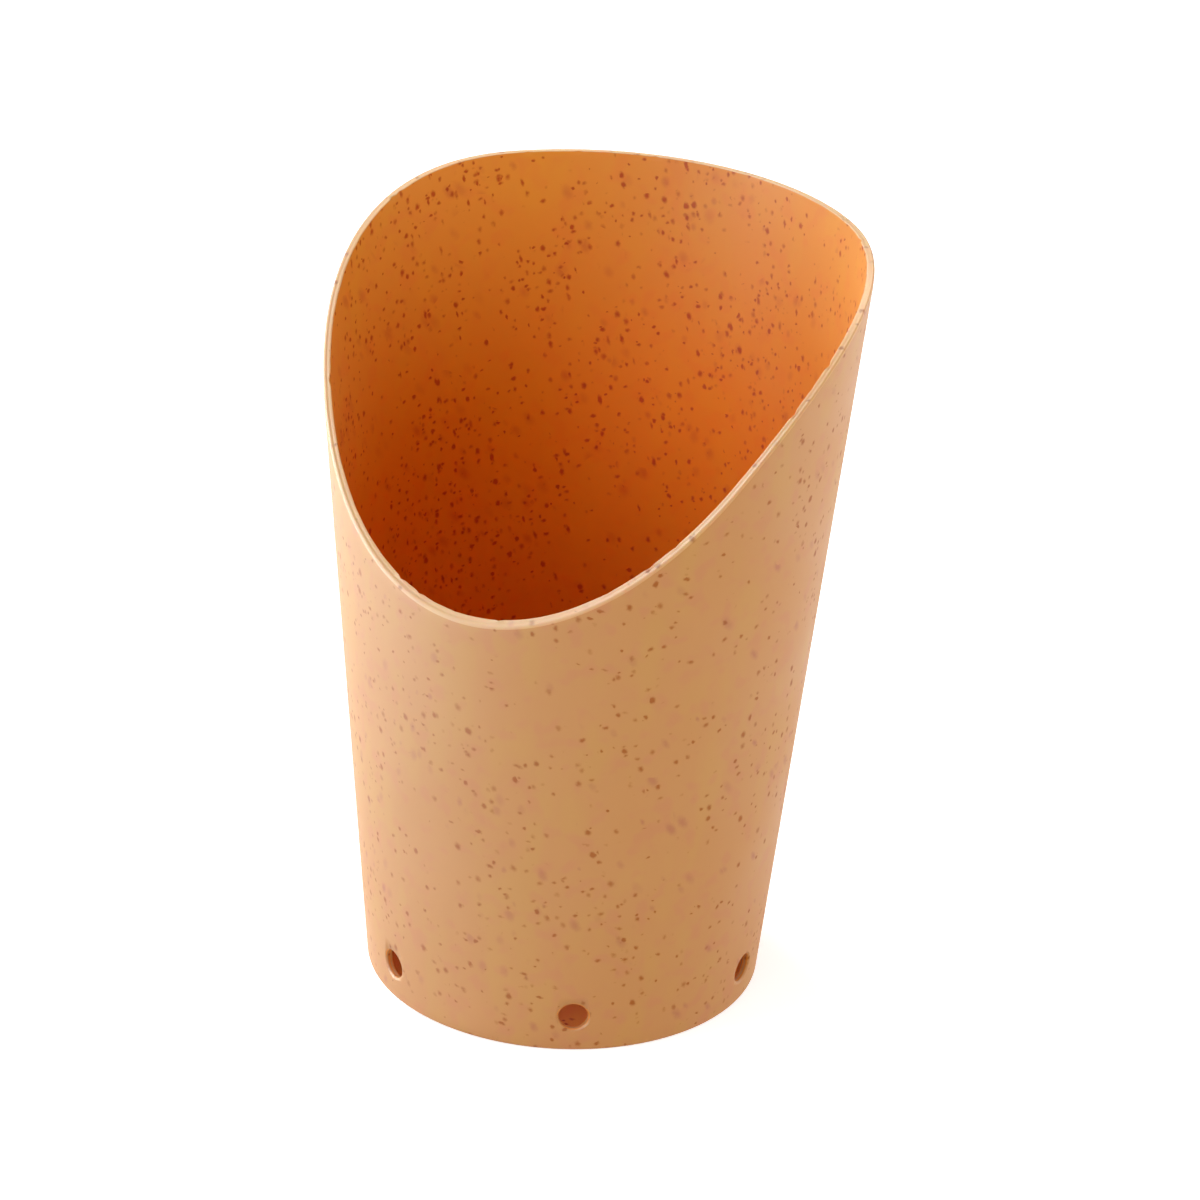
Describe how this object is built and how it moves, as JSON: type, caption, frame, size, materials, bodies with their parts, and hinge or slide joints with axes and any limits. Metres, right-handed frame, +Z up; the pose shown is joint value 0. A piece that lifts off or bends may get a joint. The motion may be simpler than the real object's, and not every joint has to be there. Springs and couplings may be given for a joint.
{
  "type": "reusable cup",
  "caption": "Reusable scoop cup for fries and snacks: a tapered beaker with a swooping rim, high round the back and low at the front, and vent holes round the foot.",
  "frame": {"origin": "on the cup's axis, in the plane of the foot that it stands on", "axes": "+Z up along the cup's axis, -Y towards the low front of the rim, +X to the right of someone who looks along +Y"},
  "size_m": [0.0836, 0.0805, 0.1215],
  "materials": {
    "shell": "satin, warm tan plant-fibre plastic with dark brown flecks"
  },
  "bodies": {
    "root": {"cup": "shell"}
  },
  "joints": []
}
